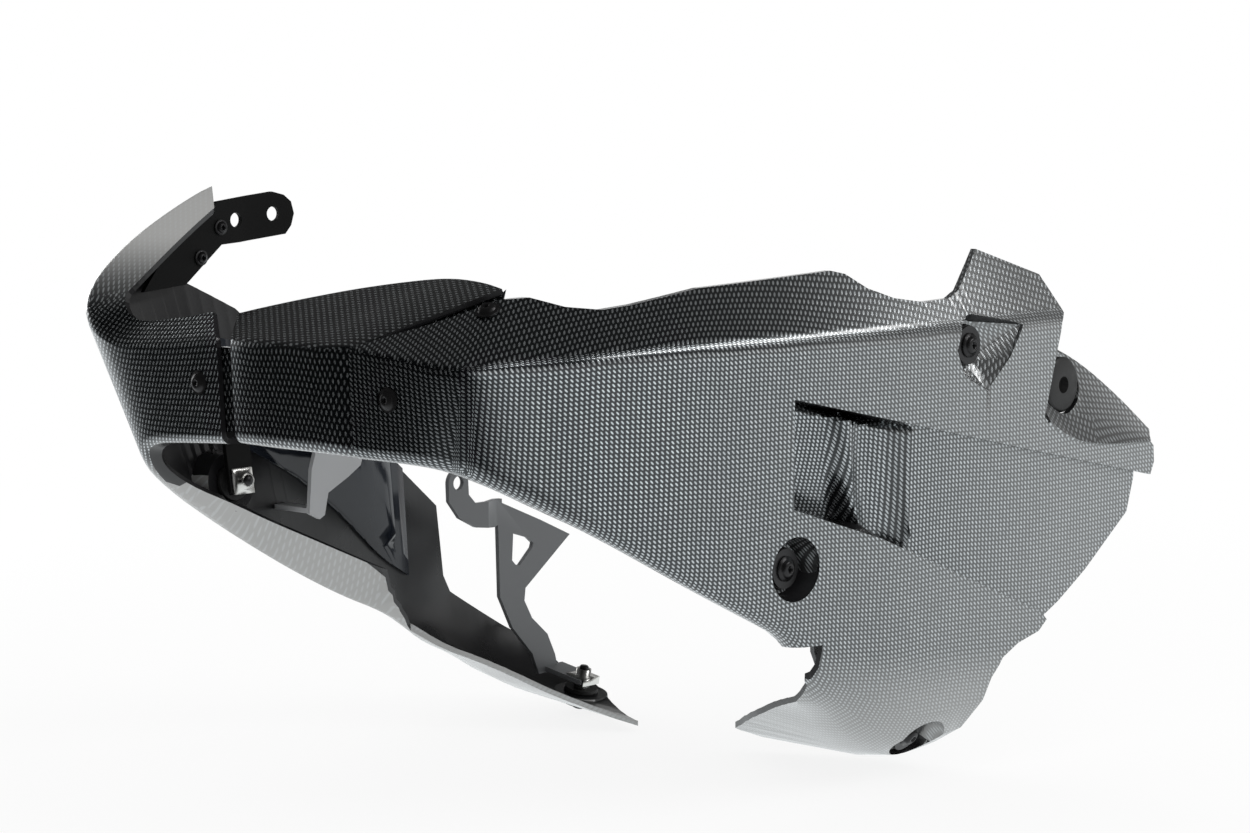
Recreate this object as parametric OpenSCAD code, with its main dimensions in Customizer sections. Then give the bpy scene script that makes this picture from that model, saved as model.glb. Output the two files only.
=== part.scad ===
/* [Shells] */
// Wall of the moulded side panels
panel_wall = 3; // [2:0.5:4]
// Wall of the moulded nose piece
nose_wall = 3; // [2:0.5:4]
// Wall of the moulded vent inserts
insert_wall = 2.5; // [1.5:0.5:3.5]
// Play between mouldings that overlap
lap_gap = 0.4; // [0.2:0.1:0.8]
// Steps along each rounded crease
crease_steps = 4; // [3:1:6]

/* [Mount recesses] */
// Radius of the flat floor of a recess
cup_floor_r = 14; // [13:0.5:16]
// Radius of the mouth of a recess
cup_mouth_r = 18; // [17:0.5:20]
// Depth of a recess
cup_depth = 12; // [8:1:14]

/* [Fasteners] */
// Diameter of the mount bolts' thread
bolt_d = 6; // [5:0.5:8]
// Diameter of the mount bolts' button head
bolt_head_d = 14; // [12:0.5:16]
// Outer diameter of the mount washers
washer_d = 22; // [18:0.5:24]
// Thickness of the mount washers
washer_t = 1.5; // [1:0.25:2.5]
// Height of the grommets' outer lip
grommet_lip = 3; // [2:0.5:4]
// Diameter of the small screws' thread
screw_d = 5; // [4:0.5:6]
// Diameter of the small screws' flanged head
screw_head_d = 13; // [10:0.5:15]

/* [Brackets] */
// Thickness of the steel brackets
bracket_t = 3; // [2:0.5:4]
// Diameter of the frame holes in the brackets
frame_hole_d = 8.5; // [6:0.5:10]
// Width of the clip nuts and of the tabs that carry them
clip_w = 15; // [13:0.5:18]

/* [Hidden] */
$fn = 32;
smooth_passes = 2;
tab_t = 2.5;
tab_inset = panel_wall + lap_gap;
grommet_hole_r = 8;
grommet_flange_r = washer_d / 2 + 1;
sleeve_r = bolt_d / 2 + 2;
sleeve_end = panel_wall + 6;
stack_top = grommet_lip + washer_t;
plate_top = -sleeve_end - 1;
nut_end = sleeve_end + bracket_t + 8;

// Stations of the left panel, outward is +y: top edge, crease, bottom corner, bottom lip,
// leg of the crease rounding, leg of the bottom rounding
LEFT_STATIONS = [
    [[12, 53, 4], [1, 46, 0], [4, 46, -57], [18, 46, -58], 3, 7],
    [[40, 76, 14], [5, 80, -4], [10, 78, -58], [26, 74, -59], 5, 7],
    [[60, 92, 23], [11, 107, -8], [17, 92, -60], [36, 84, -62], 5, 8],
    [[64, 94, 25], [20, 116, -8], [26, 101, -64], [42, 90, -66], 6, 10],
    [[72, 96, 28], [36, 122, -7], [38, 112, -71], [50, 98, -71], 7, 12],
    [[84, 100, 30], [56, 129, -6], [58, 123, -82], [66, 105, -80], 7, 14],
    [[108, 108, 31], [90, 144, -4], [92, 138, -102], [98, 119, -96], 7, 15],
    [[142, 121, 33], [143, 160, -2], [146, 154, -135], [150, 136, -125], 7, 15],
    [[180, 133, 34], [180, 168, -2], [182, 162, -154], [185, 145, -145], 7, 15],
    [[215, 141, 35], [215, 174, -2], [218, 166, -170], [220, 148, -165], 7, 15],
    [[240, 145, 37], [240, 177, -2], [240, 167, -202], [243, 30, -203], 7, 24],
    [[264, 148, 39], [264, 180, -2], [264, 171, -219], [268, 30, -207], 7, 36],
    [[290, 151, 42], [290, 183, -2], [290, 175, -241], [294, 30, -226], 7, 50],
    [[325, 155, 44], [325, 186, -2], [325, 178, -254], [325, 30, -254], 7, 56],
    [[352, 158, 46], [352, 188, -2], [352, 181, -252], [350, 30, -255], 7, 56],
    [[385, 161, 46], [385, 190, -1], [385, 186, -240], [382, 60, -248], 7, 40],
    [[432, 163, 46], [432, 193, 0], [432, 192, -220], [430, 100, -226], 7, 20],
    [[530, 170, 46], [530, 200, 0], [530, 198, -220], [530, 120, -226], 7, 20]];

// Stations of the right panel in the same form, outward is +y
RIGHT_STATIONS = [
    [[9, 69, 13], [1, 57, -1], [4, 57, -57], [18, 57, -58], 4, 6],
    [[9, 100, 8], [3, 100, -5], [8, 97, -60], [21, 91, -60], 4, 6],
    [[10, 138, 4], [5, 145, -8], [13, 136, -64], [22, 128, -63], 4, 6],
    [[12, 150, 17], [6, 177, 2], [24, 148, -80], [29, 140, -76], 5, 8],
    [[22, 148, 26], [14, 187, 22], [46, 156, -98], [51, 142, -91], 6, 11],
    [[50, 151, 45], [42, 187, 46], [80, 160, -120], [84, 142, -105], 6, 12],
    [[76, 154, 61], [72, 181, 66], [112, 163, -139], [114, 148, -118], 6, 12],
    [[104, 158, 76], [104, 180, 80], [150, 166, -160], [152, 150, -134], 6, 12],
    [[150, 160, 84], [150, 180, 88], [190, 168, -180], [192, 152, -151], 6, 12],
    [[210, 160, 84], [210, 180, 88], [224, 169, -195], [228, 152, -167], 6, 14],
    [[232, 160, 84], [232, 180, 88], [244, 170, -209], [246, 30, -212], 6, 24],
    [[252, 160, 84], [252, 180, 88], [266, 172, -219], [268, 30, -228], 6, 34],
    [[276, 160, 84], [276, 180, 88], [292, 174, -237], [292, 30, -246], 6, 50],
    [[310, 160, 84], [310, 180, 88], [325, 175, -245], [325, 30, -262], 6, 56],
    [[360, 160, 84], [360, 180, 88], [360, 172, -238], [358, 30, -262], 6, 50],
    [[400, 160, 84], [400, 180, 88], [400, 172, -230], [400, 30, -258], 6, 40]];

// Outlines seen from the side, as [x, z]
LEFT_TOP_LINE = [[60, 90], [60, 24], [76, 25], [90, 20], [108, 18], [126, 20], [170, 27],
    [262, 33], [271, 31], [281, 23], [297, 17], [318, 14], [340, 15], [351, 19], [383, 41],
    [429, 25], [434, 3], [430, -3], [415, -57], [426, -66], [440, -71], [470, -76], [516, -77],
    [522, -82], [523, -92], [519, -101], [560, -103], [560, 90]];
LEFT_VENT = [[208, -33], [305, -54], [407, -76], [519, -99.6], [560, -99], [560, -220], [416, -172],
    [278, -115], [211, -93]];
LEFT_REAR_LINE = [[416, -172], [421, -177], [414, -183], [396, -188], [383, -195], [375, -206],
    [370, -220], [364, -236], [352, -300], [560, -300], [560, -160]];
LEFT_NOTCH = [[120, -170], [237, -170], [236, -190], [238, -300], [120, -300]];
RIGHT_TOP_LINE = [[112, 100], [112, 62], [100, 43], [75, 23], [113, 5], [276, -128], [281, -173],
    [287, -184], [341, -217], [358, -234], [364, -300], [460, -300], [460, 100]];

// Outlines seen from above, as [x, y]
LOBE_TIP = [318, 39];
LOBE_FRONT_LINE = [[150, 146], [238, 157], LOBE_TIP, [330, 0], [150, 0]];
LOBE_REAR_LINE = [LOBE_TIP, [355, 107], [364, 130], [371, 150], [377, 176], [460, 190], [560, 190],
    [560, 0], [318, 0]];

// Stations of the nose piece, from its left side to its right side
NOSE_STATIONS = [
    [[66, -92, 29.5], [3, -45, 0], [5, -45, -57], [19, -45, -58], 4, 7],
    [[75, -70, 31.5], [-1, -36, 0], [3, -36, -56], [17, -36, -58], 5, 7],
    [[80, -44, 32.5], [-2, -22, 0], [2, -22, -56], [16, -22, -57], 5, 7],
    [[79, -22, 31], [-2, -8, 0], [2, -8, -56], [16, -8, -57], 5, 7],
    [[66, 12, 26], [-2, 8, 0], [2, 8, -56], [16, 8, -57], 5, 7],
    [[52, 40, 20], [-2, 22, 0], [2, 22, -56], [16, 22, -57], 5, 7],
    [[40, 60, 15], [-1, 36, 0], [3, 36, -56], [17, 36, -57], 5, 7],
    [[31, 74, 11], [1, 46, 0], [4, 46, -56], [18, 46, -57], 5, 7]];

// Return face of the left wing: inner edge, hollow, outer edge
WING_SCOOP = [
    [[428, 166, -8], [424, 178, -42], [419, 193, -60]],
    [[446, 171, -17], [440, 180, -52], [434, 194.5, -69]],
    [[468, 180, -29], [461, 186, -59], [453, 195.5, -75]],
    [[494, 190, -50], [488, 192, -66], [481, 197.5, -78]],
    [[518, 198, -72], [518, 198.5, -76], [518, 199.5, -79]]];

// Edges and depth of the vents, as [x, z] and [x, depth]
LEFT_VENT_TOP = [[190, -29], [208, -33], [305, -54], [407, -76], [514, -99]];
LEFT_VENT_LOW = [[190, -85], [211, -93], [278, -115], [416, -172], [430, -178]];
LEFT_VENT_DEPTH = [[208, 3.4], [211, 15], [236, 19], [262, 26], [284, 17], [302, 4.5], [312, 3.4]];
RIGHT_VENT_TOP = [[80, -20], [120, -30], [210, -74], [250, -100]];
RIGHT_VENT_LOW = [[80, -66], [120, -88], [200, -140], [250, -168]];
RIGHT_VENT_DEPTH = [[92, 3.4], [97, 16], [120, 24], [165, 28], [205, 20], [218, 3.4]];
INSERT_REAR_LINE = [[508, -70], [507, -101], [501, -121], [461, -152], [436, -168], [405, -184],
    [405, -200], [560, -200], [560, -70]];
vent_margin = 9;

// Mouth of the recess on the crease, as [x, z]
POCKET_MOUTH = [[334, -14], [340, 2], [348, 9], [394, -2], [382, -20], [362, -38], [342, -30]];

// Mounts: centre of the recess floor, and turn about x that points the axis outward
BOLT_PLACES = [[354, -176, -12], [214, -156, -126], [334, -152, -235], [88, 152, -94],
    [338, 106, -250]];
BOLT_TURNS = [90, 90, 122, -100, -170];
CLIP_TURNS = [90, 90, 90, 180, 180];
GROMMET_PLACE = [447, -179, -41];
side_grommet_r = 16.5;
SCREW_PLACES = [[6.4, -70, -25], [4.2, 75, -25]];
TOP_SCREW_PLACE = [53, -94.5, 18.8];
TOP_SCREW_TURN = [0, 31, 196];
tab_y = 169;
TAB_SCREW_PLACES = [[82, tab_y, 36], [97, tab_y, 53]];

// Flat outlines of the steel brackets
TAB_OUTLINE = [[40, 18], [71, 21], [98, 43], [112, 44], [144, 48], [148, 53], [150, 60], [148, 67],
    [143, 71], [135, 73], [95, 68], [60, 44]];
tab_bend_x = 117;
tab_bend_turn = 7.5;
tab_bend_y = tab_y - (170 - tab_bend_x) * tan(tab_bend_turn);
TAB_PLAN = [[35, tab_y], [tab_bend_x, tab_y], [170, tab_bend_y], [170, tab_bend_y - bracket_t],
    [tab_bend_x, tab_y - bracket_t], [35, tab_y - bracket_t]];
TAB_HOLES = [[109, 57], [135.5, 60]];
// The frame's origin: the middle of the front hole in the upper tab bracket
frame_origin = [TAB_HOLES[0][0], tab_y - bracket_t / 2, TAB_HOLES[0][1]];
// End of the right arm, seen from above
ARM_END = [[78, 148], [105, 183], [105, 200], [200, 200], [200, 148]];
LOWER_OUTLINE = [[317, -223], [299, -204], [288, -183], [286, -122], [325, -138], [352, -150], [311, -180],
    [310, -188], [317, -200], [331, -212], [338, -226]];
LOWER_ARM = [[290, -121], [290, -137], [282, -138], [258, -135], [244, -128], [235, -117], [234.5, -106],
    [251.5, -106], [252, -114], [258, -120], [269, -120]];
LOWER_WINDOW = [[300, -144], [313, -148], [318, -152], [317, -155], [306, -165], [302, -164], [299, -161]];
LOWER_PLAN = [[225, 122], [268, 122], [284, 131], [372, 131], [372, 131 - bracket_t],
    [285, 131 - bracket_t], [269, 122 - bracket_t], [225, 122 - bracket_t]];
EYE_PLACE = [243, -106];
INNER_OUTLINE = [[139, -45], [182, -45], [180, -72], [178, -81], [175, -90], [165, -96], [149, -104],
    [146, -117], [142, -119], [134, -115], [136, -89], [139, -80]];
INNER_HOLE = [164, -62];
inner_y = 136;

function unit(v) = v / norm(v);
function quad_curve(a, b, c, t) = (1 - t) * (1 - t) * a + 2 * t * (1 - t) * b + t * t * c;
function rounded(a, b, c, leg) =
    let (p = b + unit(a - b) * min(leg, 0.45 * norm(a - b)),
        q = b + unit(c - b) * min(leg, 0.8 * norm(c - b)))
    [for (k = [0:crease_steps]) quad_curve(p, b, q, k / crease_steps)];
function section(s) = concat([s[0]], rounded(s[0], s[1], s[2], s[4]),
    rounded(s[1], s[2], s[3], s[5]), [s[3]]);
function corner_cut(g) = concat([g[0]],
    [for (i = [0:len(g) - 2]) each [0.75 * g[i] + 0.25 * g[i + 1], 0.25 * g[i] + 0.75 * g[i + 1]]],
    [g[len(g) - 1]]);
function smoothed(g, n) = n < 1 ? g : smoothed(corner_cut(g), n - 1);
function shell_grid(stations) = smoothed([for (s = stations) section(s)], smooth_passes);
function grid_normal(g, i, j) =
    let (i0 = max(i - 1, 0), i1 = min(i + 1, len(g) - 1),
        j0 = max(j - 1, 0), j1 = min(j + 1, len(g[0]) - 1))
    unit(cross(g[i1][j] - g[i0][j], g[i][j1] - g[i][j0]));
function inset_grid(g, wall) = [for (i = [0:len(g) - 1]) [for (j = [0:len(g[0]) - 1])
    g[i][j] - wall * grid_normal(g, i, j)]];

// A curved wall of even thickness below a grid of points on its outer face
module shell(g, wall) {
    rows = len(g);
    cols = len(g[0]);
    inner = inset_grid(g, wall);
    total = rows * cols;
    function at(i, j) = i * cols + j;
    quads = concat(
        [for (i = [0:rows - 2], j = [0:cols - 2])
            [at(i, j), at(i, j + 1), at(i + 1, j + 1), at(i + 1, j)]],
        [for (i = [0:rows - 2], j = [0:cols - 2])
            [total + at(i, j), total + at(i + 1, j), total + at(i + 1, j + 1), total + at(i, j + 1)]],
        [for (i = [0:rows - 2]) [at(i, 0), at(i + 1, 0), total + at(i + 1, 0), total + at(i, 0)]],
        [for (i = [0:rows - 2]) [at(i + 1, cols - 1), at(i, cols - 1), total + at(i, cols - 1),
            total + at(i + 1, cols - 1)]],
        [for (j = [0:cols - 2]) [at(0, j + 1), at(0, j), total + at(0, j), total + at(0, j + 1)]],
        [for (j = [0:cols - 2]) [at(rows - 1, j), at(rows - 1, j + 1), total + at(rows - 1, j + 1),
            total + at(rows - 1, j)]]);
    polyhedron([for (row = concat(g, inner)) each row],
        [for (q = quads) each [[q[0], q[1], q[2]], [q[0], q[2], q[3]]]]);
}

module side_prism(outline, y0, y1) {
    translate([0, y1, 0]) rotate([90, 0, 0]) linear_extrude(y1 - y0) polygon(outline);
}
module plan_prism(outline, z0, z1) {
    translate([0, 0, z0]) linear_extrude(z1 - z0) polygon(outline);
}
module left_side() {
    mirror([0, 1, 0]) children();
}

left_grid = shell_grid(LEFT_STATIONS);
right_grid = shell_grid(RIGHT_STATIONS);
nose_grid = shell_grid(NOSE_STATIONS);

// Columns of a grid: the crease ends at side_top, the side face at side_low, the lip at lip
side_top = crease_steps + 1;
side_low = crease_steps + 2;
lip = 2 * crease_steps + 3;

// The part of a grid between two places along x and two columns
function patch(g, x0, x1, j0, j1) = [for (row = g) if (row[j0].x >= x0 && row[j0].x <= x1)
    [for (j = [j0:j1]) row[j]]];
// The point of a row's side face at height z
function side_point(row, z) =
    let (a = row[side_top], b = row[side_low])
    a + (b - a) * (z - a.z) / (b.z - a.z);
function vent_row(g, i, top, low, depths) =
    let (row = g[i], n = grid_normal(g, i, side_low), x = row[side_top].x,
        zu = lookup(x, top), zl = lookup(x, low), d = max(tab_inset, lookup(x, depths)))
    [for (p = [[zu + vent_margin, tab_inset], [zu, tab_inset], [zu - 2, d], [zl + 3, d],
        [zl, tab_inset], [zl - vent_margin, tab_inset]]) side_point(row, p[0]) - p[1] * n];
function vent_grid(g, x0, x1, top, low, depths) = [for (i = [1:len(g) - 2])
    if (g[i][side_top].x >= x0 && g[i][side_top].x <= x1) vent_row(g, i, top, low, depths)];

// Puts a thing whose axis is +z at a mount, pointing outward
module at_mount(k) {
    translate(BOLT_PLACES[k]) rotate([BOLT_TURNS[k], 0, 0]) children();
}
module at_each_mount() {
    for (k = [0:len(BOLT_PLACES) - 1]) at_mount(k) children();
}
// Moves a piece into the part's frame
module place() {
    translate(-frame_origin) children();
}
module facing_front(p) {
    translate(p) rotate([0, -90, 0]) children();
}
module at_top_screw() {
    translate(TOP_SCREW_PLACE) rotate(TOP_SCREW_TURN) children();
}
module ring(r_out, r_in, z0, z1) {
    translate([0, 0, z0]) difference() {
        cylinder(r = r_out, h = z1 - z0);
        translate([0, 0, -1]) cylinder(r = r_in, h = z1 - z0 + 2);
    }
}

// Recess of a mount: a drawn cup with a flat floor, trimmed to the outer face of its panel
module cup_wall() {
    rotate_extrude() polygon([[0, -panel_wall], [cup_floor_r + panel_wall, -panel_wall],
        [cup_mouth_r + panel_wall, cup_depth], [cup_mouth_r + panel_wall, cup_depth + 8],
        [0, cup_depth + 8]]);
}
module cup_space() {
    rotate_extrude() polygon([[0, 0], [cup_floor_r, 0], [cup_mouth_r, cup_depth],
        [cup_mouth_r, cup_depth + 9], [0, cup_depth + 9]]);
}
module cup_hole() {
    cylinder(r = grommet_hole_r, h = 4 * panel_wall, center = true);
    translate([0, 0, -panel_wall - 14]) cylinder(r = grommet_flange_r + 0.8, h = 14);
}
// Recess on the crease of the left panel: a flat round floor with a ramp to the rear
module pocket(grow) {
    floor_y = -BOLT_PLACES[0].y;
    hull() {
        translate([BOLT_PLACES[0].x, floor_y - grow, BOLT_PLACES[0].z]) rotate([-90, 0, 0])
            cylinder(r = cup_floor_r + grow, h = 0.4);
        side_prism([for (p = POCKET_MOUTH) p + grow * unit(p - [356, -14])], floor_y + 12, floor_y + 30);
    }
}

// Tab inside the wing of the left panel, which holds the rear side grommet
module wing_tab() {
    c = GROMMET_PLACE;
    translate([c.x, -c.y - 3, c.z]) rotate([90, 0, 0]) linear_extrude(panel_wall) union() {
        circle(r = side_grommet_r + 2.5);
        translate([-41, -15]) square([41, 30]);
    }
    translate([411, 173, -57]) cube([panel_wall, 18, 30]);
}

module left_skin() {
    difference() {
        union() {
            shell(left_grid, panel_wall);
            intersection() {
                pocket(panel_wall);
                shell(patch(left_grid, 305, 425, 0, side_low), 26);
            }
            for (k = [1:2]) cup_in_left(k);
        }
        side_prism(LEFT_TOP_LINE, 80, 260);
        side_prism(LEFT_VENT, 120, 260);
        side_prism(LEFT_REAR_LINE, 20, 260);
        side_prism(LEFT_NOTCH, 20, 260);
        plan_prism(LOBE_FRONT_LINE, -300, -150);
        plan_prism(LOBE_REAR_LINE, -300, -190);
        pocket(0);
    }
}
module cup_in_left(k) {
    x = BOLT_PLACES[k].x;
    intersection() {
        left_side() at_mount(k) cup_wall();
        shell(patch(left_grid, x - 45, x + 45, side_top, k == 1 ? side_low : lip), cup_depth + 20);
    }
}

module left_panel() {
    color([0.12, 0.12, 0.13])
    difference() {
        left_side() union() {
            left_skin();
            shell(smoothed(WING_SCOOP, 2), panel_wall);
            wing_tab();
        }
        for (k = [1:2]) at_mount(k) cup_space();
        for (k = [0:2]) at_mount(k) cup_hole();
        facing_front(SCREW_PLACES[0]) screw_space();
        at_top_screw() screw_space();
        translate(GROMMET_PLACE + [0, 3, 0]) rotate([90, 0, 0]) {
            cylinder(r = grommet_hole_r, h = 30, center = true);
            cylinder(r = side_grommet_r + 0.5, h = 40);
            translate([0, 0, -panel_wall - 12]) cylinder(r = 12.3, h = 12);
        }
    }
}

module right_panel() {
    color([0.12, 0.12, 0.13])
    difference() {
        union() {
            difference() {
                shell(right_grid, panel_wall);
                side_prism(RIGHT_TOP_LINE, 100, 260);
                plan_prism(LOBE_FRONT_LINE, -300, -150);
                plan_prism(LOBE_REAR_LINE, -300, -190);
                side_prism(vent_outline(right_grid, 96, 214, RIGHT_VENT_TOP, RIGHT_VENT_LOW), 120, 260);
                plan_prism(ARM_END, 42, 120);
            }
            for (k = [3:4]) intersection() {
                at_mount(k) cup_wall();
                shell(patch(right_grid, BOLT_PLACES[k].x - 60, BOLT_PLACES[k].x + 55, side_top,
                    k == 3 ? side_low : lip), cup_depth + 20);
            }
            for (p = TAB_SCREW_PLACES) translate(p) rotate([-90, 0, 0]) cylinder(r = 6, h = 8);
        }
        for (k = [3:4]) at_mount(k) {
            cup_space();
            cup_hole();
        }
        facing_front(SCREW_PLACES[1]) screw_space();
        for (p = TAB_SCREW_PLACES) translate(p - [0, 1, 0]) rotate([-90, 0, 0])
            cylinder(r = screw_d / 2, h = 4.5);
    }
}
function vent_outline(g, x0, x1, top, low) =
    let (rows = [for (row = g) if (row[side_top].x >= x0 && row[side_top].x <= x1) row], n = len(rows))
    concat([for (row = rows) let (p = side_point(row, lookup(row[side_top].x, top))) [p.x, p.z]],
        [for (i = [1:n]) let (row = rows[n - i], p = side_point(row, lookup(row[side_top].x, low)))
            [p.x, p.z]]);

// Clearance for a small screw: a spot face for its head and a hole for its thread
module screw_space() {
    cylinder(r = screw_head_d / 2 + 0.4, h = 8);
    translate([0, 0, -14]) cylinder(r = screw_d / 2 + 0.3, h = 16);
}

module nose_piece() {
    color([0.12, 0.12, 0.13])
    difference() {
        union() {
            shell(nose_grid, nose_wall);
            left_side() shell(side_lap(mirrored(nose_grid[0]), left_grid, 9), tab_t);
            shell(side_lap(nose_grid[len(nose_grid) - 1], right_grid, 4), tab_t);
            left_side() shell(top_lap(), tab_t);
        }
        for (p = SCREW_PLACES) facing_front(p) screw_space();
        at_top_screw() screw_space();
    }
}
function mirrored(row) = [for (p = row) [p.x, -p.y, p.z]];
// Joggled lap from an edge of the nose piece in behind the front face of a side panel
function side_lap(edge, g, x1) =
    let (cols = [side_top, side_low], under = inset_grid(patch(g, -5, x1, side_top, side_low), tab_inset))
    concat([[for (j = cols) edge[j] + [1, -7, 0]], [for (j = cols) edge[j] + [tab_inset, -1, 0]]],
        [for (i = [0:len(under) - 1]) if (under[i][0].y > edge[side_top].y + 2) under[i]]);
// Joggled lap from the top face of the nose piece in under the flange of the left panel
function top_lap() = [for (i = [1:len(left_grid) - 2]) let (row = left_grid[i])
    if (row[0].x > 18 && row[0].x < 64)
        let (n = grid_normal(left_grid, i, 0), u = unit(row[0] - row[1]))
        [row[0] + 9 * u - n, row[0] + 1.5 * u - tab_inset * n,
            0.5 * (row[0] + row[1]) - (tab_inset + 0.3) * n]];

module left_vent_insert() {
    color([0.12, 0.12, 0.13])
    left_side() difference() {
        shell(vent_grid(left_grid, 196, 512, LEFT_VENT_TOP, LEFT_VENT_LOW, LEFT_VENT_DEPTH), insert_wall);
        side_prism(INSERT_REAR_LINE, 120, 260);
    }
}
module right_vent_insert() {
    color([0.12, 0.12, 0.13])
    difference() {
        shell(vent_grid(right_grid, 70, 236, RIGHT_VENT_TOP, RIGHT_VENT_LOW, RIGHT_VENT_DEPTH),
            insert_wall);
        side_prism(RIGHT_TOP_LINE, 100, 260);
    }
}

// Steel sheet bent to a plan and cut to an outline seen from the side
module bent_sheet(plan) {
    intersection() {
        plan_prism(plan, -260, 120);
        children();
    }
}
module plate_hole_y(p, y) {
    translate([p[0], y, p[1]]) rotate([90, 0, 0]) cylinder(d = frame_hole_d, h = 40, center = true);
}
module upper_tab_bracket() {
    color([0.04, 0.04, 0.04])
    difference() {
        bent_sheet(TAB_PLAN) side_prism(TAB_OUTLINE, 150, 180);
        plate_hole_y(TAB_HOLES[0], tab_y);
        translate([TAB_HOLES[1].x,
            tab_y - bracket_t / 2 - (TAB_HOLES[1].x - tab_bend_x) * tan(tab_bend_turn), TAB_HOLES[1].y])
            rotate([90, 0, -tab_bend_turn]) cylinder(d = frame_hole_d, h = 20, center = true);
        for (p = TAB_SCREW_PLACES) translate(p) rotate([90, 0, 0])
            cylinder(r = screw_d / 2 + 0.3, h = 20, center = true);
    }
}

// Tab across a mount's axis, which carries its clip nut: its clipped edge lies toward local +x,
// or toward +y for a tab that is turned
nut_edge = clip_w / 2 - 1.3;
nut_side = clip_w / 2 + 1.5;
module nut_tab(k, back, side) {
    at_mount(k) difference() {
        translate([-back, -side, plate_top - bracket_t])
            cube([back + nut_edge, side + nut_side, bracket_t]);
        translate([0, 0, plate_top - 2 * bracket_t]) cylinder(r = bolt_d / 2 + 1, h = 4 * bracket_t);
    }
}
module turned_nut_tab(k, back, side) {
    at_mount(k) difference() {
        translate([-nut_side, -back, plate_top - bracket_t])
            cube([side + nut_side, back + nut_edge, bracket_t]);
        translate([0, 0, plate_top - 2 * bracket_t]) cylinder(r = bolt_d / 2 + 1, h = 4 * bracket_t);
    }
}
module lower_bracket_sheet(foot_z) {
    difference() {
        bent_sheet(LOWER_PLAN) union() {
            side_prism(concat(LOWER_OUTLINE, [[341, foot_z], [323, foot_z]]), 100, 150);
            side_prism(LOWER_ARM, 100, 150);
            translate([EYE_PLACE.x, 150, EYE_PLACE.y]) rotate([90, 0, 0]) cylinder(r = 8.5, h = 50);
        }
        plate_hole_y(EYE_PLACE, 125);
        side_prism(LOWER_WINDOW, 100, 150);
    }
}
module rear_lower_bracket() {
    color([0.3, 0.3, 0.31])
    union() {
        lower_bracket_sheet(-237);
        turned_nut_tab(4, 27, nut_side);
    }
}
module left_lower_bracket() {
    color([0.3, 0.3, 0.31])
    union() {
        left_side() translate([-16, 4, 0]) lower_bracket_sheet(-238);
        nut_tab(2, 22, 14);
    }
}
module inner_nose_bracket() {
    color([0.55, 0.56, 0.57])
    difference() {
        union() {
            side_prism(INNER_OUTLINE, inner_y - bracket_t, inner_y);
            translate([134, inner_y - 1, -115]) cube([12, 29, bracket_t]);
        }
        plate_hole_y(INNER_HOLE, inner_y);
    }
}
// Small bracket of the right front mount: the tab with the clip nut and a leg up to the frame
module right_front_bracket() {
    color([0.05, 0.05, 0.05])
    difference() {
        union() {
            turned_nut_tab(3, 34, nut_side);
            at_mount(3) translate([-nut_side, -34, plate_top - 24])
                cube([2 * nut_side, bracket_t, 24]);
        }
        at_mount(3) translate([0, -40, plate_top - 15]) rotate([-90, 0, 0])
            cylinder(d = frame_hole_d, h = 20);
    }
}
// Small angle bracket: the tab with the clip nut and a leg that reaches in to the engine
module angle_bracket(k, reach) {
    color([0.3, 0.3, 0.31])
    difference() {
        union() {
            nut_tab(k, 30, 12);
            at_mount(k) translate([-30, -12, plate_top - reach]) cube([bracket_t, 12 + nut_side, reach]);
        }
        at_mount(k) translate([-20, 0, plate_top - reach + 11]) rotate([0, -90, 0])
            cylinder(d = frame_hole_d, h = 20);
    }
}
module left_upper_bracket() {
    angle_bracket(0, 40);
}
module left_middle_bracket() {
    angle_bracket(1, 28);
}

// A button head screw along z, its head above z = 0 and its thread below
module button_screw(d, head_d, head_h, len, key) {
    difference() {
        rotate_extrude() polygon([[0, -len], [d / 2 - 0.6, -len], [d / 2, -len + 0.8], [d / 2, 0],
            [head_d / 2, 0], [head_d / 2, 1], [head_d * 0.38, 1.2], [head_d * 0.31, head_h * 0.8],
            [head_d * 0.2, head_h], [0, head_h]]);
        translate([0, 0, head_h - 2]) cylinder(r = key / 2 / cos(30), h = 4, $fn = 6);
    }
}
module nose_screws() {
    color([0.05, 0.05, 0.05])
    for (p = SCREW_PLACES) facing_front(p) button_screw(screw_d, screw_head_d, 3.4, 13, 3);
}
module nose_nuts() {
    color([0.7, 0.7, 0.68])
    for (p = SCREW_PLACES) facing_front(p) ring(screw_d / 2 + 2.5, screw_d / 2, -11, -7);
}
module top_flange_screw() {
    color([0.05, 0.05, 0.05])
    at_top_screw() button_screw(screw_d, screw_head_d, 3.4, 12, 3);
}
module top_flange_nut() {
    color([0.7, 0.7, 0.68])
    at_top_screw() ring(screw_d / 2 + 2.5, screw_d / 2, -11, -7);
}
module mount_bolts() {
    color([0.05, 0.05, 0.05])
    at_each_mount() translate([0, 0, stack_top])
        button_screw(bolt_d, bolt_head_d, 3.8, stack_top + nut_end, 4);
}
module mount_washers() {
    color([0.08, 0.08, 0.08])
    at_each_mount() ring(washer_d / 2, bolt_d / 2 + 0.2, grommet_lip, stack_top);
}
module panel_grommets() {
    color([0.03, 0.03, 0.03])
    at_each_mount() grommet(sleeve_r, grommet_lip);
}
module grommet(bore_r, lip_h) {
    rotate_extrude() polygon([[bore_r, lip_h], [bore_r, -panel_wall - 3], [10.5, -panel_wall - 3],
        [11, -panel_wall], [grommet_hole_r, -panel_wall], [grommet_hole_r, 0],
        [grommet_flange_r, 0], [grommet_flange_r - 0.6, lip_h]]);
}
module spacer_sleeves() {
    color([0.7, 0.7, 0.68])
    at_each_mount() ring(sleeve_r, bolt_d / 2 + 0.2, -sleeve_end, grommet_lip);
}
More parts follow.
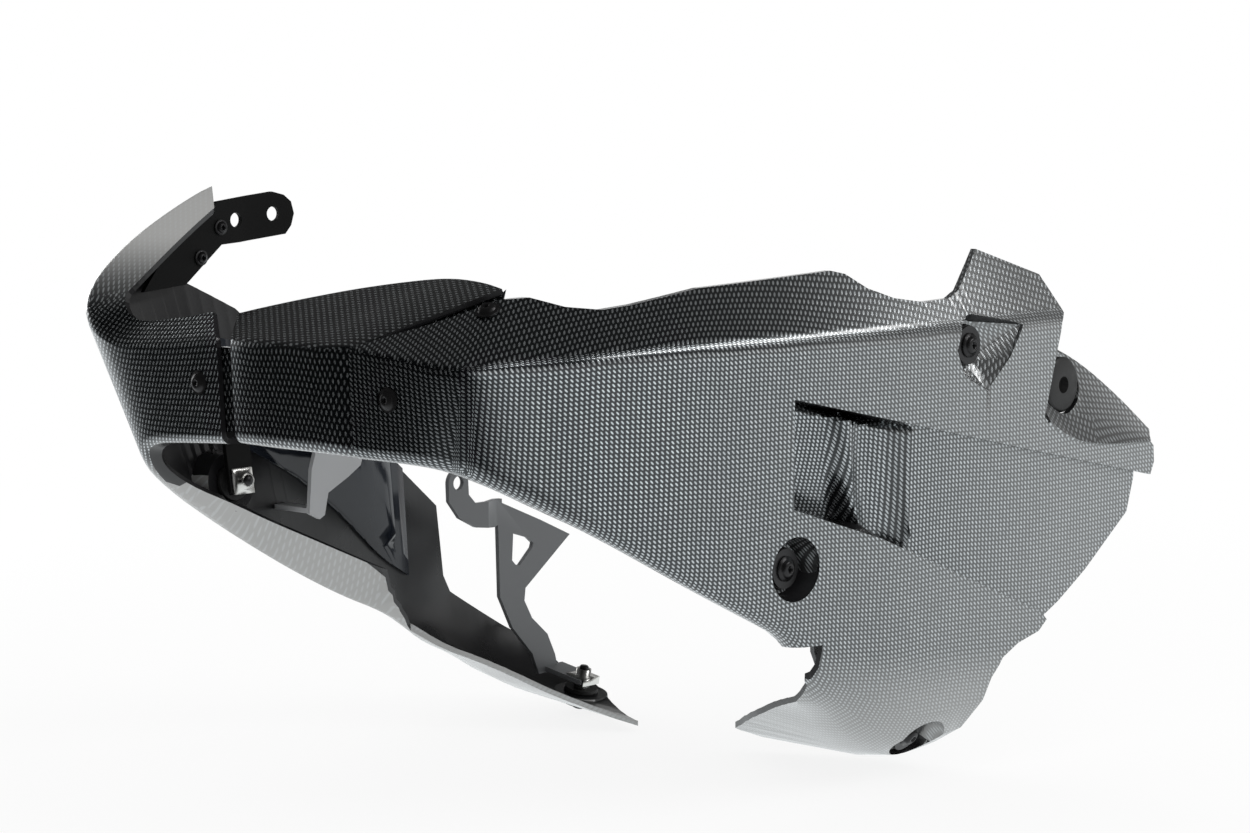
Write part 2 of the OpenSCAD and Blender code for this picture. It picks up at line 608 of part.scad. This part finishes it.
module rear_side_grommet() {
    color([0.03, 0.03, 0.03])
    translate(GROMMET_PLACE) rotate([90, 0, 0]) translate([0, 0, -3]) rotate_extrude() polygon([[5, 7],
        [5, -panel_wall - 3], [11, -panel_wall - 3], [11.5, -panel_wall],
        [grommet_hole_r, -panel_wall], [grommet_hole_r, 0], [side_grommet_r, 0],
        [side_grommet_r, 5.5], [side_grommet_r - 2, 7]]);
}
// Clip nut pushed over the edge of a plate: two leaves, a bend and a threaded barrel
module clip_nut(plate, d, w) {
    difference() {
        union() {
            translate([-w / 2, -w / 2, -1]) cube([w, w, 1]);
            translate([-w / 2, -w / 2, -plate - 2]) cube([w, w, 1]);
            translate([-w / 2, -w / 2, -plate - 2]) cube([w, 1, plate + 2]);
            translate([0, 0, -plate - 6]) cylinder(r = d / 2 + 1.8, h = 4.5);
        }
        translate([0, 0, -plate - 8]) cylinder(r = d / 2, h = plate + 10);
    }
}
module clip_nuts() {
    color([0.75, 0.75, 0.72])
    for (k = [0:len(BOLT_PLACES) - 1]) at_mount(k) translate([0, 0, -sleeve_end])
        rotate([0, 0, CLIP_TURNS[k]]) clip_nut(bracket_t, bolt_d, clip_w);
}
module bracket_screws() {
    color([0.05, 0.05, 0.05])
    for (p = TAB_SCREW_PLACES) translate(p - [0, bracket_t, 0]) rotate([90, 0, 0])
        button_screw(screw_d, 9, 3, 6.2, 3);
}

place() nose_piece();
place() left_panel();
place() right_panel();
place() left_vent_insert();
place() right_vent_insert();
place() upper_tab_bracket();
place() inner_nose_bracket();
place() right_front_bracket();
place() rear_lower_bracket();
place() left_upper_bracket();
place() left_middle_bracket();
place() left_lower_bracket();
place() nose_screws();
place() nose_nuts();
place() top_flange_screw();
place() top_flange_nut();
place() mount_bolts();
place() mount_washers();
place() panel_grommets();
place() spacer_sleeves();
place() clip_nuts();
place() rear_side_grommet();
place() bracket_screws();
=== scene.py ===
"""Looks of a motorcycle belly pan: carbon-look film on black mouldings, black and grey steel
brackets, and the bolts, washers, grommets and clip nuts that hold it.

All lengths are in metres, in the part's own frame: x runs to the rear, y to the rider's right
and z up, from the front hole of the upper tab bracket.
"""

import math

import bmesh
import bpy
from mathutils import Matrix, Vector


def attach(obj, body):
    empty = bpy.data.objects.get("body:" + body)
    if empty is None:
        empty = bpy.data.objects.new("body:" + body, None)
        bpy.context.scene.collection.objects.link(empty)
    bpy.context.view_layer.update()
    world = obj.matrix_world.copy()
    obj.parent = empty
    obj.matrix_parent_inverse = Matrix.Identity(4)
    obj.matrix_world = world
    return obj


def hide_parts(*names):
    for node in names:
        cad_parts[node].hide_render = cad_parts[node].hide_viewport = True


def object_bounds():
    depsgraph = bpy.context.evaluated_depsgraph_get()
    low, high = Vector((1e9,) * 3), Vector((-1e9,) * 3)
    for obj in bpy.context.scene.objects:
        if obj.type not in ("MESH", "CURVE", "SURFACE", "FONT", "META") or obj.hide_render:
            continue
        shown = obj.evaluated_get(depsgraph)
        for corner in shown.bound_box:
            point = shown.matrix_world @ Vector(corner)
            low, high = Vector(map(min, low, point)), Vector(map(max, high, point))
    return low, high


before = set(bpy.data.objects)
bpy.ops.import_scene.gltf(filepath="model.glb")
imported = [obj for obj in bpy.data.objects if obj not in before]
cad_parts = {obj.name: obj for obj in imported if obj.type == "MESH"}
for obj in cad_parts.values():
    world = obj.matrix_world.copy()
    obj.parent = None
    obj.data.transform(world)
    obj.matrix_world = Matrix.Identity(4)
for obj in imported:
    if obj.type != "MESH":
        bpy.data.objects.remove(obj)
low_before, high_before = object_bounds()

# Side panels and nose piece: moulded in black plastic about 3 mm thick and covered on the
# outside with a film printed like woven carbon. The film follows the crease of each moulding,
# so its rows run along the crease and its columns run up and down from it.
weld = 0.000004


def merged(node, piece_name, sharp_angle):
    """A new piece with the shape of a CAD node, its triangles joined and shaded by angle."""
    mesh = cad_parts[node].data.copy()
    mesh.name = piece_name
    mesh.materials.clear()
    bm = bmesh.new()
    bm.from_mesh(mesh)
    bmesh.ops.remove_doubles(bm, verts=bm.verts, dist=weld)
    bmesh.ops.dissolve_degenerate(bm, edges=bm.edges, dist=weld)
    for face in bm.faces:
        face.smooth = True
    bm.to_mesh(mesh)
    bm.free()
    mesh.set_sharp_from_angle(angle=math.radians(sharp_angle))
    piece = bpy.data.objects.new(piece_name, mesh)
    bpy.context.scene.collection.objects.link(piece)
    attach(piece, "root")
    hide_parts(node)
    return piece


def rounded(piece, width, angle):
    """Rounds those edges of a piece that are sharper than an angle."""
    edge = piece.modifiers.new("edge", "BEVEL")
    edge.width = width
    edge.segments = 2
    edge.limit_method = "ANGLE"
    edge.angle_limit = math.radians(angle)


def clamped(value):
    """The value, held between 0 and 1."""
    return min(max(value, 0.0), 1.0)


def along_crease(rail, point):
    """Length along the crease to a point's nearest place, its distance inward, and the place."""
    best = None
    run = 0.0
    for a, b in zip(rail, rail[1:]):
        flat_a = Vector((a.x, a.y))
        step = Vector((b.x, b.y)) - flat_a
        t = clamped((Vector((point.x, point.y)) - flat_a).dot(step) / step.length_squared)
        place = a.lerp(b, t)
        gap = Vector((point.x - place.x, point.y - place.y)).length
        if best is None or gap < best[1]:
            best = (run + t * step.length, gap, place)
        run += step.length
    return best


def lay_film(piece, rail, core_in, core_down, print_film):
    """Unrolls the film from the crease and lays it flat on what faces up.

    The core runs inside the moulding, along the crease and moved in and down from it. Faces
    that look at the core, and the cut edges, are plain black plastic.
    """
    mesh = piece.data
    layer = mesh.uv_layers.new(name="weave")
    flat = []
    cores = []
    for v in mesh.vertices:
        run, gap, place = along_crease(rail, v.co)
        rise = v.co.z - place.z
        flat.append((run, -rise - gap if rise > 0 else -rise + gap))
        cores.append(place + core_in + Vector((0, 0, -core_down)))
    row_x, row_y = 0.97, 0.24
    for face in mesh.polygons:
        looks_up = face.normal.z > 0.5
        for corner in face.loop_indices:
            v = mesh.loops[corner].vertex_index
            point = mesh.vertices[v].co
            level = (row_x * point.x - row_y * point.y, row_y * point.x + row_x * point.y)
            layer.data[corner].uv = level if looks_up else flat[v]
        cut_edge = face.normal.dot(core_in.normalized()) > 0.5
        outside = face.normal.dot(face.center - cores[face.vertices[0]]) > 0 and not cut_edge
        face.material_index = 0 if outside else 1
    mesh.materials.append(print_film)
    mesh.materials.append(inside_black)
    rounded(piece, width=0.0007, angle=55)
    even = piece.modifiers.new("even", "WEIGHTED_NORMAL")
    even.keep_sharp = True


def reckon(tree, kind, *terms):
    """The output of a math node. Each term is a number or another node's output."""
    node = tree.nodes.new("ShaderNodeMath")
    node.operation = kind
    for socket, term in zip(node.inputs, terms):
        if isinstance(term, (int, float)):
            socket.default_value = term
        else:
            tree.links.new(term, socket)
    return node.outputs[0]


def graded(tree, value, span, levels=(0.0, 1.0), soft=True):
    """A value turned from a span into levels and held there, with soft ends unless told not."""
    node = tree.nodes.new("ShaderNodeMapRange")
    node.interpolation_type = "SMOOTHSTEP" if soft else "LINEAR"
    node.inputs["From Min"].default_value, node.inputs["From Max"].default_value = span
    node.inputs["To Min"].default_value, node.inputs["To Max"].default_value = levels
    tree.links.new(value, node.inputs["Value"])
    return node.outputs["Result"]


def noise(tree, place, scale, detail):
    """A cloudy value between 0 and 1 that changes over the part."""
    node = tree.nodes.new("ShaderNodeTexNoise")
    node.inputs["Scale"].default_value = scale
    node.inputs["Detail"].default_value = detail
    tree.links.new(place.outputs["Object"], node.inputs["Vector"])
    return node.outputs["Fac"]


def mixed_colour(tree, share, first, second):
    """The mix of two colours. Each is red, green and blue, or another node's output."""
    node = tree.nodes.new("ShaderNodeMix")
    node.data_type = "RGBA"
    tree.links.new(share, node.inputs[0])
    for socket, colour in ((node.inputs[6], first), (node.inputs[7], second)):
        if isinstance(colour, tuple):
            socket.default_value = (*colour, 1)
        else:
            tree.links.new(colour, socket)
    return node.outputs[2]


def emboss(tree, shader, height, strength, depth):
    """Lets a height show in the shading of a surface."""
    bump = tree.nodes.new("ShaderNodeBump")
    bump.inputs["Strength"].default_value = strength
    bump.inputs["Distance"].default_value = depth
    tree.links.new(height, bump.inputs["Height"])
    tree.links.new(bump.outputs["Normal"], shader.inputs["Normal"])


def film(name, pitch_u, pitch_v, stagger, half_u, half_v, lean, painted_reflection_bands):
    """Printed film: pale tufts in rows on a near-black ground, under a clear satin coat.

    Columns are pitch_u apart and rows pitch_v; every second row is shifted by the stagger. A
    tuft's half width and half height are shares of the pitch, and the tuft leans aside. Along
    bands of painted reflection the ground is painted pale grey and the tufts fade, standing for
    the bright studio and floor that the real film mirrors there; the film is also made rougher
    and less metallic there. Each band is an axis, the place where it starts, the place where it
    is full, and its strength.
    """
    material = bpy.data.materials.new(name)
    material.use_nodes = True
    tree = material.node_tree
    shader = tree.nodes["Principled BSDF"]
    place = tree.nodes.new("ShaderNodeTexCoord")

    # Rows and columns wander by part of a cell, as a stretched print does.
    uv = tree.nodes.new("ShaderNodeUVMap")
    uv.uv_map = "weave"
    split = tree.nodes.new("ShaderNodeSeparateXYZ")
    tree.links.new(uv.outputs["UV"], split.inputs[0])
    wander = reckon(tree, "SUBTRACT", noise(tree, place, scale=9, detail=1), 0.5)
    drift = reckon(tree, "MULTIPLY", wander, 1.2)
    row = reckon(tree, "ADD", reckon(tree, "DIVIDE", split.outputs["Y"], pitch_v), drift)
    odd = reckon(tree, "MODULO", reckon(tree, "FLOOR", row), 2.0)
    column = reckon(tree, "ADD", reckon(tree, "DIVIDE", split.outputs["X"], pitch_u), drift)
    column = reckon(tree, "ADD", column, reckon(tree, "MULTIPLY", odd, stagger))

    # A tuft is a leaning oval with soft edges in the middle of its cell.
    across = reckon(tree, "SUBTRACT", reckon(tree, "FRACT", column), 0.5)
    down = reckon(tree, "SUBTRACT", reckon(tree, "FRACT", row), 0.5)
    leaned = reckon(tree, "SUBTRACT", across, reckon(tree, "MULTIPLY", down, lean))
    oval = tree.nodes.new("ShaderNodeCombineXYZ")
    tree.links.new(reckon(tree, "DIVIDE", leaned, half_u), oval.inputs[0])
    tree.links.new(reckon(tree, "DIVIDE", down, half_v), oval.inputs[1])
    from_middle = tree.nodes.new("ShaderNodeVectorMath")
    from_middle.operation = "LENGTH"
    tree.links.new(oval.outputs[0], from_middle.inputs[0])
    tuft_rim, tuft_heart = 1.25, 0.55
    tuft = graded(tree, from_middle.outputs["Value"], (tuft_rim, tuft_heart))

    # Each tuft is a little paler or darker than the next.
    cell = tree.nodes.new("ShaderNodeCombineXYZ")
    tree.links.new(reckon(tree, "FLOOR", column), cell.inputs[0])
    tree.links.new(reckon(tree, "FLOOR", row), cell.inputs[1])
    chance = tree.nodes.new("ShaderNodeTexWhiteNoise")
    tree.links.new(cell.outputs[0], chance.inputs["Vector"])
    darkest = 0.75
    lift = reckon(tree, "MULTIPLY", chance.outputs["Value"], 1 - darkest)
    vary = reckon(tree, "ADD", lift, darkest)

    where = tree.nodes.new("ShaderNodeSeparateXYZ")
    tree.links.new(place.outputs["Object"], where.inputs[0])
    # Painted reflection: along the given bands the ground turns pale grey and the tufts fade, for
    # the bright studio and floor that the film mirrors there; the film is also made rougher and
    # less metallic there.
    painted_reflection = None
    for axis, start, full, strength in painted_reflection_bands:
        one = graded(tree, where.outputs[axis], (start, full), (0.0, strength))
        painted_reflection = reckon(tree, "MAXIMUM", painted_reflection, one) if painted_reflection else one
    reflection_fades, reflection_roughens, reflection_dulls = 0.75, 0.14, 0.85
    clear = reckon(tree, "SUBTRACT", 1.0, reckon(tree, "MULTIPLY", painted_reflection, reflection_fades))
    amount = reckon(tree, "MULTIPLY", reckon(tree, "MULTIPLY", tuft, vary), clear)
    # Black is the print's ground and pale its tufts; the grey mixed in between is painted
    # reflection.
    black, reflected_grey, pale = (0.026, 0.030, 0.033), (0.50, 0.50, 0.49), (0.60, 0.635, 0.65)
    ground = mixed_colour(tree, painted_reflection, black, reflected_grey)
    tree.links.new(mixed_colour(tree, amount, ground, pale), shader.inputs["Base Color"])
    rough = reckon(tree, "ADD", reckon(tree, "MULTIPLY", painted_reflection, reflection_roughens), 0.27)
    tree.links.new(rough, shader.inputs["Roughness"])
    metal = reckon(tree, "SUBTRACT", 0.9, reckon(tree, "MULTIPLY", painted_reflection, reflection_dulls))
    tree.links.new(metal, shader.inputs["Metallic"])
    emboss(tree, shader, amount, strength=0.25, depth=0.0002)
    shader.inputs["Coat Weight"].default_value = 0.7
    shader.inputs["Coat Roughness"].default_value = 0.12
    return material


def speckled(name, colour, second, scale, rough, rough_span, metal, grain, depth):
    """Paint, plating or plain plastic: a colour that wanders a little, on a fine-grained skin."""
    material = bpy.data.materials.new(name)
    material.use_nodes = True
    tree = material.node_tree
    shader = tree.nodes["Principled BSDF"]
    place = tree.nodes.new("ShaderNodeTexCoord")
    cloud = noise(tree, place, scale, detail=4)
    tree.links.new(mixed_colour(tree, cloud, colour, second), shader.inputs["Base Color"])
    cloud_span = (0.3, 0.7)
    spread = graded(tree, cloud, cloud_span, (rough, rough + rough_span), soft=False)
    tree.links.new(spread, shader.inputs["Roughness"])
    shader.inputs["Metallic"].default_value = metal
    emboss(tree, shader, noise(tree, place, grain, detail=2), strength=0.3, depth=depth)
    return material


inside_black = speckled(
    "inside_black", colour=(0.008, 0.008, 0.009), second=(0.014, 0.014, 0.015), scale=30,
    rough=0.24, rough_span=0.14, metal=0, grain=900, depth=0.00004,
)

nose_front = -Vector((0.109, 0.1675, 0.057))


def rail_of(*points):
    """A crease through points given in millimetres from the front of the nose."""
    return [Vector(point) * 0.001 + nose_front for point in points]


left_rail = rail_of(
    (1, -46, 0), (5, -80, -4), (11, -107, -8), (20, -116, -8), (36, -122, -7), (56, -129, -6),
    (90, -144, -4), (143, -160, -2), (215, -174, -2), (325, -186, -2), (530, -200, 0),
)
# Painted reflection: the print pales toward the rear of the panel and along its bottom band,
# where the real film mirrors the bright studio and the white floor.
left_film = film(
    "left_film", pitch_u=0.0030, pitch_v=0.0026, stagger=0.0, half_u=0.24, half_v=0.40,
    lean=0.6, painted_reflection_bands=(("X", -0.05, 0.38, 0.27), ("Z", -0.21, -0.29, 0.55)),
)
left_panel = merged("left_panel", "left_panel_film", sharp_angle=24)
left_core_in = Vector((0, 0.06, 0))
lay_film(left_panel, left_rail, left_core_in, core_down=0.05, print_film=left_film)

right_rail = rail_of(
    (1, 57, -1), (3, 100, -5), (5, 145, -8), (6, 177, 2), (14, 187, 22), (42, 187, 46),
    (72, 181, 66), (104, 180, 80), (210, 180, 88), (400, 180, 88),
)
# Painted reflection: the print pales to plain grey over the upper part of the arm and along its
# bottom band, where the real film mirrors the bright studio and floor.
right_film = film(
    "right_film", pitch_u=0.0032, pitch_v=0.0034, stagger=0.5, half_u=0.22, half_v=0.40,
    lean=0.5, painted_reflection_bands=(("Z", -0.05, -0.005, 1.0), ("Z", -0.125, -0.15, 0.8)),
)
right_panel = merged("right_panel", "right_panel_film", sharp_angle=24)
right_core_in = Vector((0.04, -0.04, 0))
lay_film(right_panel, right_rail, right_core_in, core_down=0.07, print_film=right_film)

nose_rail = rail_of(
    (5, -160, 0), (5, -60, 0), (-2, -22, 0), (-3, 0, 0), (-2, 22, 0), (4, 60, 0), (4, 160, 0),
)
# Painted reflection: the print pales a little along the lower edge of the nose.
nose_film = film(
    "nose_film", pitch_u=0.0034, pitch_v=0.0034, stagger=0.5, half_u=0.20, half_v=0.42,
    lean=0.0, painted_reflection_bands=(("Z", -0.11, -0.12, 0.2),),
)
nose = merged("nose_piece", "nose_piece_film", sharp_angle=24)
nose_core_in = Vector((0.05, 0, 0))
lay_film(nose, nose_rail, nose_core_in, core_down=0.03, print_film=nose_film)

# Vent inserts: separate mouldings held behind the openings. The left one has the film on its
# face; of the right one the glossy black back shows.
# Painted reflection: the print pales toward the rear of the insert.
insert_film = film(
    "insert_film", pitch_u=0.0030, pitch_v=0.0026, stagger=0.0, half_u=0.25, half_v=0.40,
    lean=0.5, painted_reflection_bands=(("X", 0.12, 0.36, 0.25),),
)
left_insert = merged("left_vent_insert", "left_vent_insert_film", sharp_angle=24)


def between(x, table):
    """The value at x of a line drawn through the rows of a table."""
    for a, b in zip(table, table[1:]):
        if x <= b[0]:
            return a[1] + (b[1] - a[1]) * (max(x, a[0]) - a[0]) / (b[0] - a[0])
    return table[-1][1]


# The air scoop of the left insert: a floor that lies deeper toward its lower edge, a ridge whose
# lower end lies farther back, and a hollow ramp that rises to the rear edge of the opening. Its
# lengths are in millimetres from the front of the nose. The face is cut fine, and its points are
# moved in or out from the plain depth that the moulding has to the depth of the scoop.
plain_depth = ((208, 0), (211, 11.6), (236, 15.6), (262, 22.6), (284, 13.6), (302, 1.1), (312, 0))
opening_top = ((190, -29), (208, -33), (305, -54), (407, -76))
opening_low = ((190, -85), (211, -93), (278, -115), (416, -172))
scoop_front, scoop_back = 209, 312
floor_front, front_wall = 208, 3.5
top_wall, low_wall = 4, 5
floor_at_top, floor_gain = 10, 13
ridge_at_top, ridge_lean = 244, 20
step_width = 11
ramp_back, ramp_hollow = 303, 4.5
crest_at_top, crest_gain, crest_over = 4, 2, 2.2
cut_pitch = 2
bm = bmesh.new()
bm.from_mesh(left_insert.data)
cuts = [((x, 0, 0), (1, 0, 0)) for x in range(206, 316, cut_pitch)]
cuts += [((0, 0, z), (0, 0, 1)) for z in range(-128, -32, cut_pitch)]
for spot, way in cuts:
    bmesh.ops.bisect_plane(
        bm, geom=bm.verts[:] + bm.edges[:] + bm.faces[:], dist=0.00001,
        plane_co=Vector(spot) * 0.001 + nose_front, plane_no=way,
    )
bm.normal_update()
for v in bm.verts:
    x, z = ((v.co - nose_front) * 1000).xz
    if not scoop_front < x < scoop_back:
        continue
    top, low = between(x, opening_top), between(x, opening_low)
    on_floor = clamped(min((top - z) / top_wall, (z - low) / low_wall))
    share = clamped((top - z) / (top - low))
    floor_depth = floor_at_top + floor_gain * share ** 1.4
    floor_depth *= min((x - floor_front) / front_wall, 1.0)
    ridge = ridge_at_top + ridge_lean * share ** 1.6
    step = clamped((x - ridge) / step_width)
    step = step * step * (3 - 2 * step)
    along = clamped((x - ridge - step_width) / (ramp_back - ridge - step_width))
    crest = crest_at_top + crest_gain * share
    hollow = ramp_hollow * math.sin(math.pi * along)
    ramp_depth = crest + hollow - (crest + crest_over) * along ** 3 if x <= ramp_back else 0.0
    depth = floor_depth * (1 - step) + ramp_depth * step
    v.co.y += on_floor * (depth - between(x, plain_depth)) * 0.001
bm.to_mesh(left_insert.data)
bm.free()
left_insert.data.set_sharp_from_angle(angle=math.radians(28))
lay_film(left_insert, left_rail, left_core_in, core_down=0.05, print_film=insert_film)

gloss_black = speckled(
    "gloss_black", colour=(0.010, 0.013, 0.018), second=(0.016, 0.019, 0.026), scale=22,
    rough=0.10, rough_span=0.08, metal=0, grain=300, depth=0.00003,
)
right_insert = merged("right_vent_insert", "right_vent_insert_gloss", sharp_angle=32)
right_insert.data.materials.append(gloss_black)


# Brackets: laser-cut sheet steel, bent, with edges rounded by tumbling before they are
# painted. The tab in the right arm and the front bracket are matt black, and so are the two
# small hidden ones; the inner nose bracket is light grey and the lower ones satin dark grey.
def eased(node, piece_name):
    """A merged copy of a bent sheet, its flat faces made whole and its edges rounded."""
    sharp_angle = 30
    piece = merged(node, piece_name, sharp_angle)
    bm = bmesh.new()
    bm.from_mesh(piece.data)
    bmesh.ops.dissolve_limit(bm, angle_limit=math.radians(0.5), verts=bm.verts, edges=bm.edges)
    bm.to_mesh(piece.data)
    bm.free()
    piece.data.set_sharp_from_angle(angle=math.radians(sharp_angle))
    rounded(piece, width=0.0004, angle=35)
    return piece


powder_black = speckled(
    "powder_black", colour=(0.003, 0.003, 0.003), second=(0.007, 0.007, 0.007), scale=60,
    rough=0.50, rough_span=0.12, metal=0, grain=1800, depth=0.00008,
)
# The powder coat is dull and mirrors less than the other paints.
powder_black.node_tree.nodes["Principled BSDF"].inputs["Specular IOR Level"].default_value = 0.12
satin_grey = speckled(
    "satin_grey", colour=(0.115, 0.120, 0.125), second=(0.135, 0.140, 0.145), scale=25,
    rough=0.34, rough_span=0.10, metal=0, grain=1500, depth=0.00005,
)
pale_grey = speckled(
    "pale_grey", colour=(0.36, 0.37, 0.38), second=(0.42, 0.43, 0.44), scale=25,
    rough=0.36, rough_span=0.10, metal=0, grain=1500, depth=0.00005,
)
for node, paint in (
    ("upper_tab_bracket", powder_black),
    ("right_front_bracket", powder_black),
    ("left_upper_bracket", powder_black),
    ("left_middle_bracket", powder_black),
    ("inner_nose_bracket", pale_grey),
    ("rear_lower_bracket", satin_grey),
    ("left_lower_bracket", satin_grey),
):
    bracket = eased(node, node + "_paint")
    bracket.data.materials.append(paint)

# Screws and bolts with button heads and a hexagon socket, and the washers under the bolts:
# turned steel with black oxide on it.
black_oxide = speckled(
    "black_oxide", colour=(0.018, 0.018, 0.020), second=(0.035, 0.034, 0.034), scale=160,
    rough=0.26, rough_span=0.14, metal=0.7, grain=1400, depth=0.00004,
)
for node in ("nose_screws", "top_flange_screw", "mount_bolts", "mount_washers", "bracket_screws"):
    fastener = merged(node, node + "_black", sharp_angle=32)
    fastener.data.materials.append(black_oxide)

# Clip nuts, plain nuts and spacer sleeves: zinc-plated steel.
zinc = speckled(
    "zinc", colour=(0.60, 0.60, 0.58), second=(0.74, 0.73, 0.70), scale=120,
    rough=0.22, rough_span=0.16, metal=1.0, grain=900, depth=0.00004,
)
for node in ("clip_nuts", "nose_nuts", "top_flange_nut", "spacer_sleeves"):
    plated = merged(node, node + "_zinc", sharp_angle=32)
    plated.data.materials.append(zinc)

# Grommets: moulded black rubber, four or five millimetres proud of the wall that they sit in.
rubber = speckled(
    "rubber", colour=(0.010, 0.010, 0.010), second=(0.020, 0.020, 0.020), scale=90,
    rough=0.52, rough_span=0.16, metal=0, grain=1200, depth=0.00008,
)
for node in ("panel_grommets", "rear_side_grommet"):
    soft = merged(node, node + "_rubber", sharp_angle=32)
    soft.data.materials.append(rubber)


# Stage: a plain pale floor that runs to the horizon. What the camera sees of it is near white,
# a little less so near the part, where it keeps the part's soft shadow. In reflections it is
# bright right round the part, and farther out too, except before it, where it stays dark.
def studio_light(tree, way, full):
    """Brightness in a direction: nearly none before the part, full beside it and behind it."""
    ahead = tree.nodes.new("ShaderNodeVectorMath")
    ahead.operation = "DOT_PRODUCT"
    ahead.inputs[1].default_value = (-0.998, -0.06, 0)
    tree.links.new(way, ahead.inputs[0])
    dark_from, full_from = 0.46, 0.10
    return graded(tree, ahead.outputs["Value"], (dark_from, full_from), (0.006, full))


def either(tree, share, first, second):
    """One of two surfaces: the second one as far as the share is 1."""
    mix = tree.nodes.new("ShaderNodeMixShader")
    for socket, output in zip(mix.inputs, (share, first.outputs[0], second.outputs[0])):
        tree.links.new(output, socket)
    return mix


floor_mesh = bpy.data.meshes.new("floor")
bm = bmesh.new()
bmesh.ops.create_grid(bm, x_segments=1, y_segments=1, size=30)
bm.to_mesh(floor_mesh)
bm.free()
floor = bpy.data.objects.new("floor", floor_mesh)
floor_gap = 0.002
floor.location = (0, 0, low_before.z - floor_gap)
bpy.context.scene.collection.objects.link(floor)
pale_floor = bpy.data.materials.new("pale_floor")
pale_floor.use_nodes = True
tree = pale_floor.node_tree
tree.nodes.clear()
place = tree.nodes.new("ShaderNodeTexCoord")
way = tree.nodes.new("ShaderNodeVectorMath")
way.operation = "NORMALIZE"
away = tree.nodes.new("ShaderNodeVectorMath")
away.operation = "LENGTH"
for node in (way, away):
    tree.links.new(place.outputs["Object"], node.inputs[0])
clear_of_shadow = graded(tree, away.outputs["Value"], (0.35, 1.4), (0.85, 1.0))
near_part = graded(tree, away.outputs["Value"], (0.30, 0.60), (1.0, 0.0), soft=False)
farther_out = studio_light(tree, way.outputs["Vector"], full=1.1)
brighter = reckon(tree, "MAXIMUM", farther_out, near_part)
cloth = tree.nodes.new("ShaderNodeBsdfDiffuse")
cloth.inputs["Color"].default_value = (0.92, 0.92, 0.92, 1)
white = tree.nodes.new("ShaderNodeEmission")
white.inputs["Color"].default_value = (1, 1, 1, 1)
white.inputs["Strength"].default_value = 1.0
mirrored = tree.nodes.new("ShaderNodeEmission")
mirrored.inputs["Color"].default_value = (0.95, 0.985, 1, 1)
tree.links.new(brighter, mirrored.inputs["Strength"])
rays = tree.nodes.new("ShaderNodeLightPath")
seen = reckon(tree, "MULTIPLY", rays.outputs["Is Camera Ray"], clear_of_shadow)
to_camera = either(tree, seen, cloth, white)
surface = either(tree, rays.outputs["Is Glossy Ray"], to_camera, mirrored)
out = tree.nodes.new("ShaderNodeOutputMaterial")
tree.links.new(surface.outputs[0], out.inputs["Surface"])
floor_mesh.materials.append(pale_floor)


# Studio walls: bright low down behind and beside the part, dark before it and overhead, so that
# the side panel shines and the nose stays black. They light dull surfaces evenly, and the
# camera itself sees plain white.
def for_rays(tree, kind, value, otherwise):
    """A fixed value for one kind of ray, and what another node gives for the rest."""
    rays = tree.nodes.new("ShaderNodeLightPath")
    mix = tree.nodes.new("ShaderNodeMix")
    tree.links.new(rays.outputs[kind], mix.inputs[0])
    tree.links.new(otherwise, mix.inputs[2])
    mix.inputs[3].default_value = value
    return mix.outputs[0]


world = bpy.data.worlds.new("studio")
bpy.context.scene.world = world
world.use_nodes = True
tree = world.node_tree
back = tree.nodes["Background"]
back.inputs["Color"].default_value = (1, 1, 1, 1)
toward = tree.nodes.new("ShaderNodeTexCoord")
split = tree.nodes.new("ShaderNodeSeparateXYZ")
tree.links.new(toward.outputs["Generated"], split.inputs[0])
round_part = studio_light(tree, toward.outputs["Generated"], full=1.0)
low_down = graded(tree, split.outputs["Z"], (0.08, 0.40), (1.0, 0.06))
walls = reckon(tree, "MULTIPLY", round_part, low_down)
filled = for_rays(tree, "Is Diffuse Ray", 0.75, walls)
shown = for_rays(tree, "Is Camera Ray", 1.0, filled)
tree.links.new(shown, back.inputs["Strength"])


# Lamps: a long, narrow strip above the near panel, for the bright line along its crease, and a
# soft box behind the part.
def softbox(name, place, aim, width, height, watts):
    """A rectangular soft light that looks at a point of the part."""
    lamp = bpy.data.lights.new(name, "AREA")
    lamp.shape = "RECTANGLE"
    lamp.size = width
    lamp.size_y = height
    lamp.energy = watts
    box = bpy.data.objects.new(name, lamp)
    box.location = place
    turn = Vector(aim) - Vector(place)
    box.rotation_euler = turn.to_track_quat("-Z", "Y").to_euler()
    bpy.context.scene.collection.objects.link(box)


softbox("crease_strip", (0.70, -1.30, 0.80), (0.08, -0.31, 0), width=1.2, height=0.16, watts=6)
softbox("behind", (0.2, 1.6, 0.3), (0, 0, 0), width=0.9, height=0.7, watts=8)

# Camera: a long lens, a little above the part, from its front left.
lens = bpy.data.cameras.new("camera")
lens.lens = 84.96
lens.sensor_width = 36
lens.clip_start = 0.05
lens.clip_end = 100
camera = bpy.data.objects.new("camera", lens)
camera.location = (-1.12569, -1.31944, 0.06566)
azimuth, elevation = math.radians(-48), math.radians(6)
level = math.cos(elevation)
sight = -Vector((math.sin(azimuth) * level, -math.cos(azimuth) * level, math.sin(elevation)))
camera.rotation_euler = sight.to_track_quat("-Z", "Y").to_euler()
bpy.context.scene.collection.objects.link(camera)
bpy.context.scene.camera = camera
bpy.context.scene.view_settings.view_transform = "Standard"
